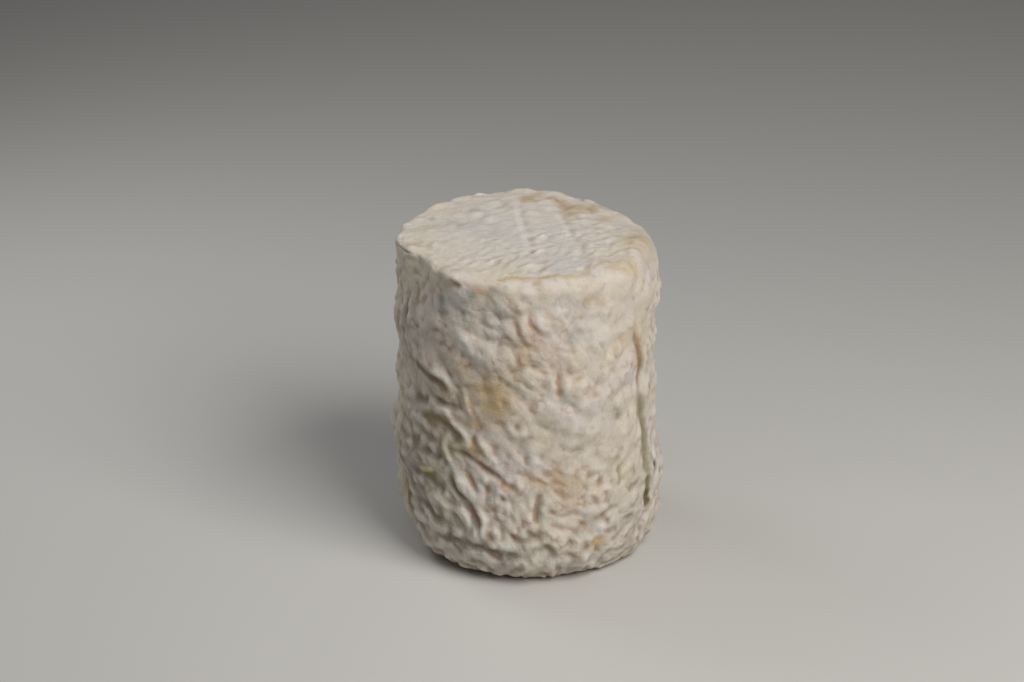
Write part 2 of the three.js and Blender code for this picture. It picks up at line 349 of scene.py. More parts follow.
def grown(start, spacing):
    """Swift and Hohenberg's equation: a field gains its growth, less (1 - (wave times spacing) squared)
    squared of each wave and less its own cube. Bands of the spacing swell and join into winding folds.
    Scaled to a spread of one."""
    wave_u, wave_v = waves_of(start)
    gain = GROWTH - (1 - (wave_u ** 2 + wave_v ** 2) * spacing ** 2) ** 2
    field = GROWN_FROM * start
    for _ in range(GROW_STEPS):
        field = filtered(field - GROW_STEP * field ** 3, 1 / (1 - GROW_STEP * gain))
    return field / field.std()


print("folds grow in", GROW_STEPS, "steps")

# %% [markdown]
# ## Creases and ridges
# Over the ripples lie the marks that give this cheese its face: short hooked creases, and folds that stand
# up like worms. Each is a stroke with a few points read off the photograph as azimuth and height. Across it
# the surface follows a narrow bell, with a wide, shallow one of the other sign, so that a crease has soft
# lips and a ridge has a trough on each side. Along it the stroke swells and dies away.

# %% The strokes of the front
# Depth in millimetres (a ridge's is negative), half width, then the azimuth and height of each place in turn.
WALL_STROKES = [
    # Upper middle: short hooked creases between soft pillows.
    (.34, .53, 11.3, 73.2, 14.1, 72.7, 16, 71.4), (.38, .62, .7, 74.8, 1.3, 71.8, 4.4, 71.1, 5.7, 69.8),
    (.26, .88, 7.6, 75.5, 10, 73.8), (.26, .7, 22.2, 71.2, 24.4, 72.5),
    (.29, .62, 28.7, 68.4, 29, 66.2, 26.8, 65.5), (.34, .62, 10, 66.6, 12.5, 65, 15.6, 64.3, 20, 64.1),
    (.29, .79, 4.4, 56.6, 6.9, 55.5, 8.2, 54.4), (.38, .62, 13.8, 58.7, 13.8, 55.8, 14.1, 53),
    (.26, .53, 10, 59, 13.6, 54.8), (.34, .88, 13.6, 54, 14.3, 52.6), (.26, .62, 21.2, 56.2, 24.4, 56.5),
    (.34, .62, 25.6, 53.7, 29.3, 53, 32.4, 50.8), (.29, .62, 18.8, 52.6, 22.5, 51.2),
    (.29, .79, 2.6, 51.5, 2, 48.7), (.34, .7, .1, 47.6, -4.3, 45.8, -5.5, 43.3),
    (-.45, 2.2, -30, 67.6, -26.5, 66.6, -24, 66.2), (.42, .62, -9.5, 69, -7, 68),
    (.34, .7, -3.3, 61.6, -1.2, 60.9), (.17, .44, -1, 60.6, 4, 60.8, 9, 60.4),
    (.21, .53, 30, 62.6, 31.6, 62), (.21, .62, 35.6, 59.8, 38.7, 59),
    (.21, .7, 18.8, 50.5, 21.2, 47.6, 21.9, 46.2), (.26, .79, 39, 46.5, 42, 44.6, 46, 42),
    (-.35, 1.1, 9, 59.5, 11, 56.5, 12, 54), (-.3, 1.1, -3, 75, -1, 70, .5, 66.5),
    (-.35, 1, 16.4, 58, 17.6, 55, 19.5, 53.5), (-.3, 1, 2, 59, 5, 58.5, 8, 56.5),
    (-.3, .9, -10, 47, -8, 44, -4, 42.3, 0, 43.5), (-.25, 1.1, 20, 62.5, 21, 59),
    (-.3, 1, -12, 72, -8, 71, -6, 69.5), (.26, .53, -19, 69.8, -16.5, 67), (.26, .53, -12, 67, -12, 64),
    (.29, .62, -20, 62, -16, 61.2, -12.5, 62), (.4, .7, -38.5, 61, -34.5, 64),
    (.3, .7, -29, 58.5, -24, 60.5), (.45, 1.1, 56.4, 63, 60, 57, 60.8, 53, 59.4, 48),
    (.6, 1.3, 60.4, 51, 61.2, 43, 63.6, 33, 63.4, 25, 62.3, 19), (.8, .8, 62.5, 22, 62.3, 17.5, 61.6, 14.3),
    (-.5, 1.2, 74, 27, 75, 22, 74, 18), (-.25, 2.2, 68, 40, 69, 30, 67.5, 18), (.7, .8, 71, 24, 72, 22),
    (.5, .45, -86, 81, -78, 81.5, -69, 81.8), (-.5, 1.5, -44, 82.6, -38, 82.4, -32, 82),
    (.35, .6, -33.5, 81.4, -30, 80.4), (.29, .53, -2, 68.6, -.6, 66.2, .6, 64.6),
    (.21, .62, 3.4, 66.2, 5, 64), (.21, .7, 18, 59.6, 18, 57.4), (.26, .62, 22, 60, 22.8, 57.4),
    (.26, .62, 0, 50.2, 2, 48), (.26, .62, 15.6, 69.4, 18.4, 67.6, 19, 65.6),
    (.21, .53, -6, 73.6, -4, 71.8, -3.4, 69.6), (.21, .53, 32, 57.4, 33.4, 55.2),
    (.26, .62, 6.4, 63, 9.4, 61.6), (.26, .7, -9, 61, -6, 59), (.26, .62, -14, 59.4, -11.6, 57),
    (.21, .62, 35, 67, 36.4, 64.4),
    # Left: narrow folds that stand between wide hollows.
    (-.51, 1, -44.7, 55.3, -39.8, 56, -37.4, 54.4, -35.5, 52.5, -34.9, 50),
    (-.47, .6, -29.4, 52.8, -27.9, 50.4, -26.4, 47.9, -25.2, 46.2),
    (-.38, .7, -49, 48, -48.4, 45.5, -50.8, 43.3, -53.9, 41.9), (-.42, 1, -60, 40.2, -51, 40.5),
    (-.3, .7, -46, 49.5, -41.7, 49.6, -38, 49),
    (-.64, .8, -48.4, 44.4, -43.5, 45.1, -39.2, 46, -36.8, 45.8, -34.9, 44, -33.1, 42.6, -29.4, 41.2,
     -27, 39.5, -27.6, 37.4),
    (-.42, 1, -23, 41.5, -21.5, 40.2, -18.4, 37.4, -15.4, 35.2, -11.7, 33.1),
    (-.51, .8, -38.6, 39.5, -39.2, 36, -36.8, 33.5, -34.9, 31.4, -33.7, 30.3),
    (-.51, 1.2, -32.5, 30.7, -30.7, 27.9, -27.6, 25.4, -23.9, 23.3),
    (-.3, 1, -25.8, 31.7, -23.3, 29.6, -21.5, 26.8),
    (-.51, .8, -32.5, 22.9, -29.4, 20.8, -26.4, 19, -26.4, 15.5),
    (-.38, .8, -20.9, 20.5, -18.4, 18.7, -20.3, 15.5), (-.38, .6, -44.7, 21.9, -39.8, 20.8, -34.3, 19.8),
    (-.51, .55, -53.9, 26.8, -45.9, 28.5), (-.34, 1, -54.5, 24, -52.3, 24),
    (-.3, .7, -14.8, 26.4, -11.1, 27.5, -7.4, 26.4),
    (.44, 1.1, -56.3, 55, -47.8, 54.6, -41.7, 53.2, -38, 51.1, -37.4, 49.7),
    (.44, 1, -46, 47.9, -39.2, 47.9, -33.1, 47.9, -29.4, 47.6), (.37, .9, -31.3, 52, -32.5, 50.4, -31, 48),
    (.52, 1.2, -52, 42.3, -47.8, 43, -41.7, 43.3, -36.8, 41.6, -33.1, 39.8, -30.7, 38.8),
    (.37, .6, -25.2, 37.7, -24.5, 39.5, -23.3, 42.3, -19.7, 44.4),
    (.77, .8, -36.2, 35.9, -31.3, 35.6, -27, 35.2, -22.1, 33.8, -17.2, 32.1, -12.9, 30.7, -10.5, 29.3,
     -8, 28.5, -4.9, 28.1),
    (.42, .9, -27.6, 31.4, -25.8, 29.3, -23.3, 27.1, -22.1, 25.4),
    (.59, 1, -35.5, 28.2, -32.5, 25.4, -28.8, 24, -25.8, 22.6, -23.9, 20.1, -23.3, 17.6),
    (.51, .7, -18, 27.8, -17.6, 22.4), (.51, .8, -16, 17.4, -15.4, 13), (.34, .7, -11.6, 18.6, -11.4, 15),
    (.3, .7, -7, 25.2, -6.4, 21.6, -7, 18.4), (-.3, .9, -17, 22.8, -14, 24, -9.4, 23.4, -7.6, 21.6),
    (.34, .7, -14, 22.4, -15, 20.2, -12.6, 18.8), (-.42, 1.3, -11.8, 12.2, -8, 11.2),
    (-.42, 1.4, -24, 14, -22.6, 12), (.34, .6, -18.4, 20.8, -14, 21.5), (.42, .8, -11.5, 25.5, -10.7, 24.5),
    (.42, .7, -22.1, 19.7, -21.5, 15.5), (.37, 1, -66, 36.6, -58, 38, -50, 38.6, -46, 37.6),
    (.34, .9, -46, 31, -41, 33), (.26, 2.4, -60, 33.5, -48, 33), (.3, 2, -57, 17.4, -48, 17.6, -40, 16.4),
    (.22, 1.8, -58, 46.4, -51, 46.2), (.3, 1.6, -57, 26.4, -46, 25.6),
    (.51, 1.5, -38, 10.4, -26, 11.2, -17, 10.6, -12, 9.4, -7, 8.6),
    (-.42, 1.3, -60, 13.4, -50, 12.8, -43, 12.6), (-.42, 1.1, -68, 41.5, -60, 40.2),
    (-.34, 1, -66, 31.2, -60, 32.4),
    # Lower middle and right: a steep crease, amber creases and fine bands.
    (-.45, 1.4, .7, 38.5, 2.5, 36, 4.4, 33.4), (.24, .63, -.8, 36.5, -.5, 34),
    (.24, .63, 5.4, 36.7, 6.2, 34.8), (.36, .54, 11, 32.8, 13.2, 32.1, 15, 31.4),
    (.48, .72, -.2, 31.4, 2, 30.5, 5.1, 29.9, 6.9, 28.9), (.4, .72, 11.3, 29.6, 13.8, 28.9, 15, 27.8),
    (.35, 1, 12.2, 27.5, 13.8, 24.9, 15.6, 23.5), (.8, 1, 4.1, 27, 4.4, 24.9, 3.8, 22, 3.2, 19.9, 3.2, 18),
    (.5, .9, -1.2, 17, 0, 15.8, 3.2, 14.9, 6.9, 14.5), (.8, 1, 6.9, 12.7, 8.8, 11.6, 10, 9.9, 11.3, 8.8),
    (.7, 1.1, -8, 9.5, -4.3, 9.1, 1.3, 8), (.45, .8, -3.4, 22, -3, 18.6), (.4, .8, -6.8, 15.4, -6.2, 13.2),
    (.4, .7, 24.4, 24, 28.7, 24.2, 31.8, 23.1), (.5, .8, 28.7, 23.7, 31.2, 22),
    (.3, .9, 26, 22.4, 27.2, 21.6), (.4, .8, 21.9, 17.7, 24.4, 16),
    (.4, .8, 8.8, 18.5, 10.7, 17.4, 15, 17.4), (.35, .6, 31.8, 29.9, 32.4, 28.5, 33, 25.6),
    (.3, .6, 25.6, 29.7, 31.8, 30, 34.9, 29.6), (.3, .7, 36.8, 29.9, 39.3, 31.4, 43, 32.4, 44.9, 34.2),
    (.3, .6, 42.7, 29.9, 43.3, 27, 43.6, 24.9), (.35, 1, 30.6, 17.4, 34, 18.6, 38, 18.8),
    (.5, .8, 31.8, 13.4, 36, 13.2, 41.2, 13.6), (.5, .8, 44.3, 15.2, 50, 15.4),
    (.45, .8, 24.6, 11.4, 25.2, 9.6, 27.2, 8.8), (.5, .8, 45, 9.4, 50, 10.8),
    (.55, .8, 13.6, 9.6, 18, 9, 22, 8.4), (.4, .7, 17, 13.6, 19.4, 12), (.35, .7, 9, 21.6, 12.6, 20.8),
    (.3, .7, 28, 11.8, 33.5, 12), (-.4, 1, 0, 12.3, 4, 12), (-.4, 1.1, 12, 13, 16, 12.4),
    (-.35, 1, 30.5, 14.8, 33.5, 14.4), (-.35, .9, 6.5, 24.5, 7, 21),
    # Two long creases and a small ridge at the rim that the photograph does not show.
    (.7, 1.2, 176, 70, 168, 58, 172, 44), (.8, 1.3, -150, 33, -136, 27, -118, 25),
    (-.6, 1, -159.5, 82.8, -156, 82.8),
]
print("strokes on the wall:", len(WALL_STROKES))

# %% The strokes of the top
# Depth, half width, then x and y of each place in turn.
TOP_STROKES = [
    (.3, 1, -1.6, 21.6, -.8, 12, .4, 2.4, 1.2, -5.6, 1.6, -15, 3.2, -23),
    (.3, 1, 6.4, 20, 8.8, 15.2, 10.4, 8, 12, -.8, 13.6, -8.8, 14, -18.4, 15.2, -24.8),
    (.25, .6, -20, -20, -14.4, -18.4, -9.6, -15.2, -5.6, -12.8, -4, -11.2),
    (-.3, .7, -8, -21.6, -8.4, -16.8, -6, -15.2), (.3, .7, -4, -16.8, -5.2, -20, -6.4, -22.4),
    (.3, .6, -1.6, -16.8, -2.4, -21.6, -4.4, -26.4), (.4, .9, 4, -15.2, 4, -20, 2.8, -24.8),
    (-.25, .9, 1, -17, .6, -22), (-.25, .8, 7, -16, 7.5, -22),
    (.25, .6, -6.4, -28.8, -4, -27.2, -.8, -27.6, 4, -28, 7.2, -26.4),
    (.2, .6, 7.2, -26.4, 8.8, -28, 13.6, -26.4, 15.2, -22.4, 18.4, -19.2, 21.6, -16.8, 24.8, -15.2),
    (.25, .7, 13.6, -17.6, 18.4, -15.2, 23.2, -8.8), (.2, .6, 3, -3, 6, -3.8, 8.2, -6.5),
    (.25, .6, 20.5, -8, 21, -4), (.25, .6, -11.5, 11.5, -10, 16, -7, 19.5, -4.5, 18),
    (.2, .6, -10, -5, -7, -1), (.2, .6, -14, -7, -14, -2), (.3, .5, -24, 11.5, -23.8, 9.5),
    (-.25, .8, -18, -7, -17, -4), (-.2, .8, 2, -2, 5, -1.3), (-.2, .7, 9, 1, 9.5, 3),
    (.2, .7, -29, -3, -28, -9),
]
print("strokes on the top:", len(TOP_STROKES))

# %% Draw a stroke into a sheet
STROKE_STEP, LEAST_POINTS, SMOOTHINGS = 0.35, 5, 4
LIPS, LIP_REACH, STROKE_REACH = 0.35, 2.3, 2.2


def pairs(run):
    """A run of numbers as places of two numbers each."""
    return np.reshape(np.array(run, float), (-1, 2))


def stroke_points(places):
    """The places as points a short step apart, with smoothed corners, and a swell that comes and goes."""
    along = np.concatenate([[0], np.cumsum(np.hypot(*np.diff(places, axis=0).T))])
    count = max(LEAST_POINTS, int(along[-1] / STROKE_STEP))
    at = np.linspace(0, along[-1], count)
    points = np.stack([np.interp(at, along, part) for part in places.T], -1)
    for _ in range(SMOOTHINGS):
        points[1:-1] = (points[:-2] + 2 * points[1:-1] + points[2:]) / 4
    return points, np.sqrt(np.sin(math.pi * (np.arange(count) + 0.5) / count))


def add_stroke(sheet, relief, depth, width, places):
    """Takes off the relief the depth times a narrow bell, less a share of the wide bell beyond it."""
    points, swell = stroke_points(places)
    reach = STROKE_REACH * LIP_REACH * width
    middle = points[:, 0].mean()
    rows = np.nonzero(np.abs(sheet["v"] - points[:, 1].mean()) < reach + np.ptp(points[:, 1]))[0]
    cols = np.nonzero(np.abs(gap_across(sheet, sheet["u"], middle)) < reach + np.ptp(points[:, 0]))[0]
    across = gap_across(sheet, sheet["u"][cols], middle)[None, :, None] + middle - points[:, 0]
    squared = across ** 2 + (sheet["v"][rows][:, None, None] - points[:, 1]) ** 2
    narrow = (swell * np.exp(-squared / width ** 2)).max(-1)
    wide = (swell * np.exp(-squared / (LIP_REACH * width) ** 2)).max(-1)
    relief[np.ix_(rows, cols)] -= depth * (narrow - LIPS * (wide - narrow))


# %% Strokes for the sides that the photograph does not show
HIDDEN_STROKES, HIDDEN_AZIMUTHS, HIDDEN_HEIGHTS = 130, (-122, 122), (8, 77)
HIDDEN_SWING, HIDDEN_LENGTHS, HIDDEN_BEND = 0.55, (2.5, 8), 0.28
HIDDEN_SHARES, HIDDEN_WIDTHS = (0.5, 1), (.65, 1.1)
HIDDEN_CREASE, HIDDEN_RIDGE, CREASES_OF_ALL = 0.6, -0.5, 0.68
ALONG_STROKE = (-.5, -.17, .17, .5)


def scatter_strokes(random, count, zones):
    """Short bent strokes at random places behind the seen front, each along its zone's direction or nearly
    so. About one in three is a ridge."""
    strokes = []
    direction = zone_direction(zones)
    for _ in range(count):
        azimuth, height = 180 + random.uniform(*HIDDEN_AZIMUTHS), random.uniform(*HIDDEN_HEIGHTS)
        u, v = wall_place(turn_from(azimuth, 0), height)
        line, col = int((v - WALL_LOW) / CELL), int((u + ROUND / 2) / CELL) % WALL_COLS
        angle = direction[line, col] + random.normal(0, HIDDEN_SWING)
        length, bend = random.uniform(*HIDDEN_LENGTHS), random.normal(0, HIDDEN_BEND)
        share = zones["depth"][line, col] * random.uniform(*HIDDEN_SHARES)
        along, aside = np.array([(math.cos(angle), math.sin(angle)), (-math.sin(angle), math.cos(angle))])
        places = [(u, v) + along * length * t + aside * length * bend * (1 - 4 * t * t) for t in ALONG_STROKE]
        depth = share * (HIDDEN_CREASE if random.random() < CREASES_OF_ALL else HIDDEN_RIDGE)
        strokes.append((depth, random.uniform(*HIDDEN_WIDTHS), np.array(places)))
    return strokes


# %% [markdown]
# ## The relief of each sheet
# Where the rind is soft it sits in plates with thin creases between them. The distance of band noise from
# zero does that, because noise passes through zero along winding lines. Where it is deeper it lies in
# winding folds, grown as above, and where it is crisp it stands in narrow pleats over wide hollows: there
# the larger of two crossing fields of ripples gives a pleat that forks. Low pillows, a fine unevenness,
# thin broken seams and the strokes are added. The rind is thin, so nothing is deeper than a millimetre or
# so, and its pits have soft floors.

# %% The noises of the rind
# Each noise: its spacing in millimetres and the width of its band in octaves.
NOISES = dict(
    coarse=(6.4, .45), fine=(4.2, .45), wander=(3, .4), softness=(9, .5), pleat=(4.4, .4),
    winding=(3.9, .45), winding_wander=(2.4, .5), patch=(9, .6), ripple=(2.8, .4), mottle=(1.4, .5),
    pillow=(8, .4), breaks=(6, .5),
)
# The zone spacing at which the fine plates start to give way to the coarse ones, and over how much they do.
COARSE_FROM, COARSE_OVER = 2.6, 1.4
CREASE_WANDER, CREASE_SOFTNESS, SOFTNESS_SPREAD = 0.22, 0.16, 0.55
FLATNESS, FLATNESS_LOST = 1.1, 0.6
PLEAT_DEPTH, PLEAT_TURN, PLEAT_FIRMNESS = 0.3, 0.45, 2.4
WINDING_STARTS = (0.12, 0.5)
WINDING_DEPTH, WINDING_FIRMNESS, WINDING_WANDER, WINDING_LEVEL = 0.5, 2.0, 0.3, 0.4
PATCH_SPREAD, PATCH_LIMITS = 0.4, (0.2, 1.8)
RIPPLE_DEPTH, MOTTLE_DEPTH, MOTTLE_LEAST = 0.085, 0.018, 0.3
PILLOW_DEPTH, PILLOW_SOFTNESS, PILLOW_MIDDLE = 0.16, 0.3, 0.85
SEAM_DEPTH, SEAM_WIDTH, SEAM_BREAKS, SEAM_SEED = 0.3, 0.34, (-0.4, 0.6), 11


def larger(one, other, firmness):
    """The larger of two values, its corner rounded: the log of a sum of e to the firmness times each,
    over the firmness."""
    return np.logaddexp(firmness * one, firmness * other) / firmness


def turned(zones, angle):
    """The same zones with every direction turned by the angle in radians."""
    cos, sin, cos2, sin2 = math.cos(2 * angle), math.sin(2 * angle), zones["cos2"], zones["sin2"]
    return dict(zones, cos2=cos2 * cos - sin2 * sin, sin2=cos2 * sin + sin2 * cos)


# %% Plates, pleats and winding folds
def plate_shapes(white, zones):
    """Tanh of the noise's distance from zero, flatter where the zone is deep. Also gives the noise."""
    share = np.clip((zones["spacing"] - COARSE_FROM) / COARSE_OVER, 0, 1)
    coarse, fine = [steered_noise(white(), *NOISES[name], zones) for name in ("coarse", "fine")]
    wide = (share * coarse + (1 - share) * fine) / np.sqrt(share ** 2 + (1 - share) ** 2)
    wide = wide + CREASE_WANDER * band_noise(white(), *NOISES["wander"])
    softness = CREASE_SOFTNESS + SOFTNESS_SPREAD * (1 + np.tanh(band_noise(white(), *NOISES["softness"]))) / 2
    flatness = FLATNESS - FLATNESS_LOST * np.clip(zones["depth"], 0, 1)
    return np.tanh(flatness * np.hypot(wide, softness)) / flatness, wide


def pleat_shapes(white, zones):
    """The larger of two fields of ripples, turned each way from the zone's direction."""
    ways = [turned(zones, way) for way in (-PLEAT_TURN, PLEAT_TURN)]
    return larger(*[steered_noise(white(), *NOISES["pleat"], way) for way in ways], PLEAT_FIRMNESS)


def winding_shapes(white, zones):
    """A grown field with its crests flattened: the smaller of it, raised a little, and nought."""
    winding = grown(steered_noise(white(), *NOISES["winding"], zones), NOISES["winding"][0])
    winding = winding + WINDING_WANDER * band_noise(white(), *NOISES["winding_wander"])
    return -larger(0, -(winding + WINDING_LEVEL), WINDING_FIRMNESS)


def rind_relief(random, zones, plate_depth, winds, crisp):
    """Plates, with winding folds in their place where the zone is deep, mixed with pleats by how crisp the
    place is and scaled by the zone's depth and by random patches. Then pillows and mottle are added, and
    seams are cut: a bell of the plates' noise about zero, broken up. Gives the relief and the seams."""
    def white():
        return random.standard_normal(zones["depth"].shape)

    plates, wide = plate_shapes(white, zones)
    pleats = pleat_shapes(white, zones)
    winding = winding_shapes(white, zones)
    share = winds * ease(zones["depth"], *WINDING_STARTS)
    skin = (1 - share) * plate_depth * (plates - plates.mean())
    skin = skin + share * WINDING_DEPTH * (winding - winding.mean())
    shape = (1 - crisp) * skin + crisp * PLEAT_DEPTH * (pleats - pleats.mean())
    patches = np.clip(1 + PATCH_SPREAD * band_noise(white(), *NOISES["patch"]), *PATCH_LIMITS)
    ripples = RIPPLE_DEPTH * steered_noise(white(), *NOISES["ripple"], zones)
    mottle = MOTTLE_DEPTH * (MOTTLE_LEAST + zones["depth"]) * band_noise(white(), *NOISES["mottle"])
    swell = np.hypot(band_noise(white(), *NOISES["pillow"]), PILLOW_SOFTNESS)
    breaks = band_noise(np.random.default_rng(SEAM_SEED).standard_normal(wide.shape), *NOISES["breaks"])
    seams = winds * bell(wide, SEAM_WIDTH) * ease(breaks, *SEAM_BREAKS) * np.clip(2 * zones["depth"], 0, 1)
    relief = zones["depth"] * (patches * (shape + ripples) - SEAM_DEPTH * seams)
    return relief + PILLOW_DEPTH * (swell - PILLOW_MIDDLE) + mottle, seams


# %% The wall's relief and the top's
RIND_SEED = 3
WALL_PLATES, TOP_PLATES, TOP_CRISP = 0.6, 0.06, 0.2
PIT_FLOOR, PIT_FIRMNESS = -0.3, 8.0
random = np.random.default_rng(RIND_SEED)
u, v = np.meshgrid(WALL_SHEET["u"], WALL_SHEET["v"])
crisp = np.zeros(u.shape)
for azimuth, height, reach in CRISP_PLACES:
    across, up = wall_place(azimuth, height)
    crisp = np.maximum(crisp, bell(np.hypot(gap_across(WALL_SHEET, u, across), v - up), reach))
wall_relief, wall_seams = rind_relief(random, wall_zones, WALL_PLATES, 1, crisp)
wall_relief = larger(wall_relief, PIT_FLOOR, PIT_FIRMNESS)
for depth, width, *run in WALL_STROKES:
    add_stroke(WALL_SHEET, wall_relief, depth, width, np.stack(wall_place(*pairs(run).T), -1))
for stroke in scatter_strokes(random, HIDDEN_STROKES, wall_zones):
    add_stroke(WALL_SHEET, wall_relief, *stroke)
top_relief, top_seams = rind_relief(random, top_zones, TOP_PLATES, 0, TOP_CRISP)
for depth, width, *run in TOP_STROKES:
    add_stroke(TOP_SHEET, top_relief, depth, width, pairs(run))
for name, relief in (("wall", wall_relief), ("top", top_relief)):
    print(name, "relief from", relief.min().round(2), "to", relief.max().round(2), "mm")

# %% [markdown]
# ## How hollow each place is
# Creases and hollows are browner, partly the damp rind's own tint where moisture and moulds sit and partly
# painted shade, and crests are paler, partly chalky dried mould and partly a painted highlight. The material
# needs to know which is which. A copy of the relief that is blurred widely, less one that is blurred a
# little, gives how far each place lies below what is round it. It is taken twice: broadly for hollows, and
# closely for creases.

# %% Blur and hollowness
BLUR_WIDTH = 0.45
HOLLOW_REACH, HOLLOW_FULL, SHALLOW_SHARE = (3.0, 0.9), 0.36, 0.7
CREASE_REACH, WALL_CREASE_FULL, TOP_CREASE_FULL = (1.6, 0.45), 0.24, 0.48


def blurred(relief, reach):
    """The relief with its short waves taken out: each wave is scaled by a bell of its frequency."""
    return filtered(relief, bell(np.hypot(*waves_of(relief)) * reach, BLUR_WIDTH))


def below(relief, reach):
    """How far each place lies below what is round it: the relief blurred widely, less it blurred a bit."""
    return blurred(relief, reach[0]) - blurred(relief, reach[1])


def hollowness(relief, zones):
    """How far below, over what is full there. A shallow zone's hollows are full at a smaller depth."""
    full = SHALLOW_SHARE + (1 - SHALLOW_SHARE) * np.clip(zones["depth"], 0, 1)
    return below(relief, HOLLOW_REACH) / HOLLOW_FULL / full


# Relief, hollow, crease, rough and seam, each as a pair of sheets: the wall's and the top's.
LAYERS = [
    (wall_relief, top_relief),
    (hollowness(wall_relief, wall_zones), hollowness(top_relief, top_zones)),
    (below(wall_relief, CREASE_REACH) / WALL_CREASE_FULL, below(top_relief, CREASE_REACH) / TOP_CREASE_FULL),
    (wall_zones["depth"], top_zones["depth"]),
    (wall_seams, top_seams),
]
print("the wall's hollows run from", LAYERS[1][0].min().round(2), "to", LAYERS[1][0].max().round(2))


# %% Read a sheet between its cells
def sample(sheet, values, u, v):
    """The values between a sheet's cells, mixed from the four nearest by how close each lies."""
    lines, cols = values.shape
    x, y = (u - sheet["u"][0]) / CELL, (v - sheet["v"][0]) / CELL
    left, low = np.floor(x).astype(int), np.floor(y).astype(int)
    wraps, total = np.isfinite(sheet["round"]), 0
    for step_x, share_x in ((0, 1 - (x - left)), (1, x - left)):
        column = (left + step_x) % cols if wraps else np.clip(left + step_x, 0, cols - 1)
        for step_y, share_y in ((0, 1 - (y - low)), (1, y - low)):
            total = total + share_x * share_y * values[np.clip(low + step_y, 0, lines - 1), column]
    return total


# %% [markdown]
# ## The loose folds
# Under the wrinkles the whole rind swells and sinks over a centimetre or so. Waves in random directions are
# added up, and the distance of their sum from zero is taken: it swells where they agree and creases where
# they cancel.

# %% The folds
FOLD_WAVES, FOLD_LENGTHS, FOLD_SEED = 16, (9.0, 16.0), 4127
WALL_FOLD, TOP_FOLD = 0.5, 0.2
FOLD_SOFTNESS, FOLD_MIDDLE = 0.2, 0.8
FOLDS_START, WRINKLES_START = 5.0, 1.2
STATE_TIMES, STATE_LIMIT = 16807, 2147483647


def random_source(state):
    """Yields numbers from 0 to 1: each state is the last times 16807, less whole 2147483647s."""
    while True:
        state = state * STATE_TIMES % STATE_LIMIT
        yield state / STATE_LIMIT


fold_source = random_source(FOLD_SEED)
fold_waves, fold_phases = [], []
for _ in range(FOLD_WAVES):
    up, around_z, length = 2 * next(fold_source) - 1, 2 * math.pi * next(fold_source), next(fold_source)
    length = FOLD_LENGTHS[0] + (FOLD_LENGTHS[1] - FOLD_LENGTHS[0]) * length
    level = math.sqrt(1 - up * up)
    way = np.array([level * math.cos(around_z), level * math.sin(around_z), up])
    fold_waves.append(way * 2 * math.pi / length)
    fold_phases.append(2 * math.pi * next(fold_source))


def folds(points):
    """The length of (the sum of the waves, the softness), less its usual value."""
    field = sum(np.cos(points @ wave + phase) for wave, phase in zip(fold_waves, fold_phases))
    return np.hypot(field * math.sqrt(2 / FOLD_WAVES), FOLD_SOFTNESS) - FOLD_MIDDLE


print("waves that make the folds:", len(fold_waves))

# %% [markdown]
# ## Wrapping the sheets round the drum
# Each point of the side moves along its outward direction by the relief read off the wall sheet, and each
# point of the top moves up by the relief of the top sheet. Near the rim the top's relief fades into the
# wall's, so that a wrinkle can run over the edge. At the base the relief only cuts upwards, and the cheese
# still stands flat.

# %% Points of the side, the top and the base
TOP_FADE, BASE_FADE = (0.86, 0.99), (0.55, 1.0)
BASE_DEPTH, BASE_LEVEL = 0.3, 0.1


def side_points(azimuth, row):
    """The outline's point, pushed out by the folds and the wall sheet's relief. Above the base the folds
    ease in over a few millimetres and the relief over one, so the foot's edge is ragged. Also gives the
    other layers."""
    radius, height, out, up, roll = side_outline(azimuth, row)
    u = np.radians(azimuth) * WAIST_RADIUS + 0 * roll
    relief, *marks = [sample(WALL_SHEET, wall, u, roll) for wall, _ in LAYERS]
    push = WALL_FOLD * folds(on_drum(azimuth, radius, height)) * ease(height, 0, FOLDS_START)
    push = push + relief * ease(height, 0, WRINKLES_START)
    return on_drum(azimuth, radius + out * push, np.maximum(0, height + up * push)), marks


def top_points(azimuth, ring):
    """The rim's height eased from the middle's by the ring squared, raised by folds and relief. Near the
    rim the wall sheet, carried on over the edge, takes over from the top sheet."""
    radius, _, _, _, roll = side_outline(azimuth, np.full(azimuth.shape, float(SIDE_ROWS)))
    points = on_drum(azimuth, radius * ring, HEIGHT - around(azimuth, RIM_SAGS) * ring ** 2)
    fade = ease(ring, *TOP_FADE)
    on_wall = np.radians(azimuth) * WAIST_RADIUS, roll + (1 - ring) * radius
    on_top = points[..., 0], points[..., 1]
    relief, *marks = [
        fade * sample(WALL_SHEET, wall, *on_wall) + (1 - fade) * sample(TOP_SHEET, top, *on_top)
        for wall, top in LAYERS
    ]
    points[..., 2] += (TOP_FOLD + (WALL_FOLD - TOP_FOLD) * fade) * folds(points) + relief
    return points, marks


def base_points(azimuth, ring):
    """The flat base, with the top sheet's valleys cut up into it and no crest below nought."""
    radius = side_outline(azimuth, np.zeros(azimuth.shape))[0]
    points = on_drum(azimuth, radius * ring, 0 * ring)
    relief, *marks = [sample(TOP_SHEET, top, -points[..., 0], points[..., 1]) for _, top in LAYERS]
    points[..., 2] = BASE_DEPTH * np.clip(BASE_LEVEL - relief, 0, 1) * (1 - ease(ring, *BASE_FADE))
    return points, marks


# %% [markdown]
# ## One closed mesh
# The three grids share their border points, so the mesh is closed with no seam. Quads keep the shading
# even, and the count stays under two hundred thousand triangles.

# %% Join the grids
parts = [base_points(end_azimuth, end_ring), top_points(end_azimuth, end_ring)]
rows = np.arange(1, SIDE_ROWS)[:, None] * np.ones(side_azimuth.size)
parts.append(side_points(side_azimuth[None, :], rows))
coordinates = np.concatenate([points.reshape(-1, 3) for points, _ in parts])
end_index = np.arange(end_ring.size).reshape(end_ring.shape)
side_index = 2 * end_ring.size + np.arange(rows.size).reshape(rows.shape)


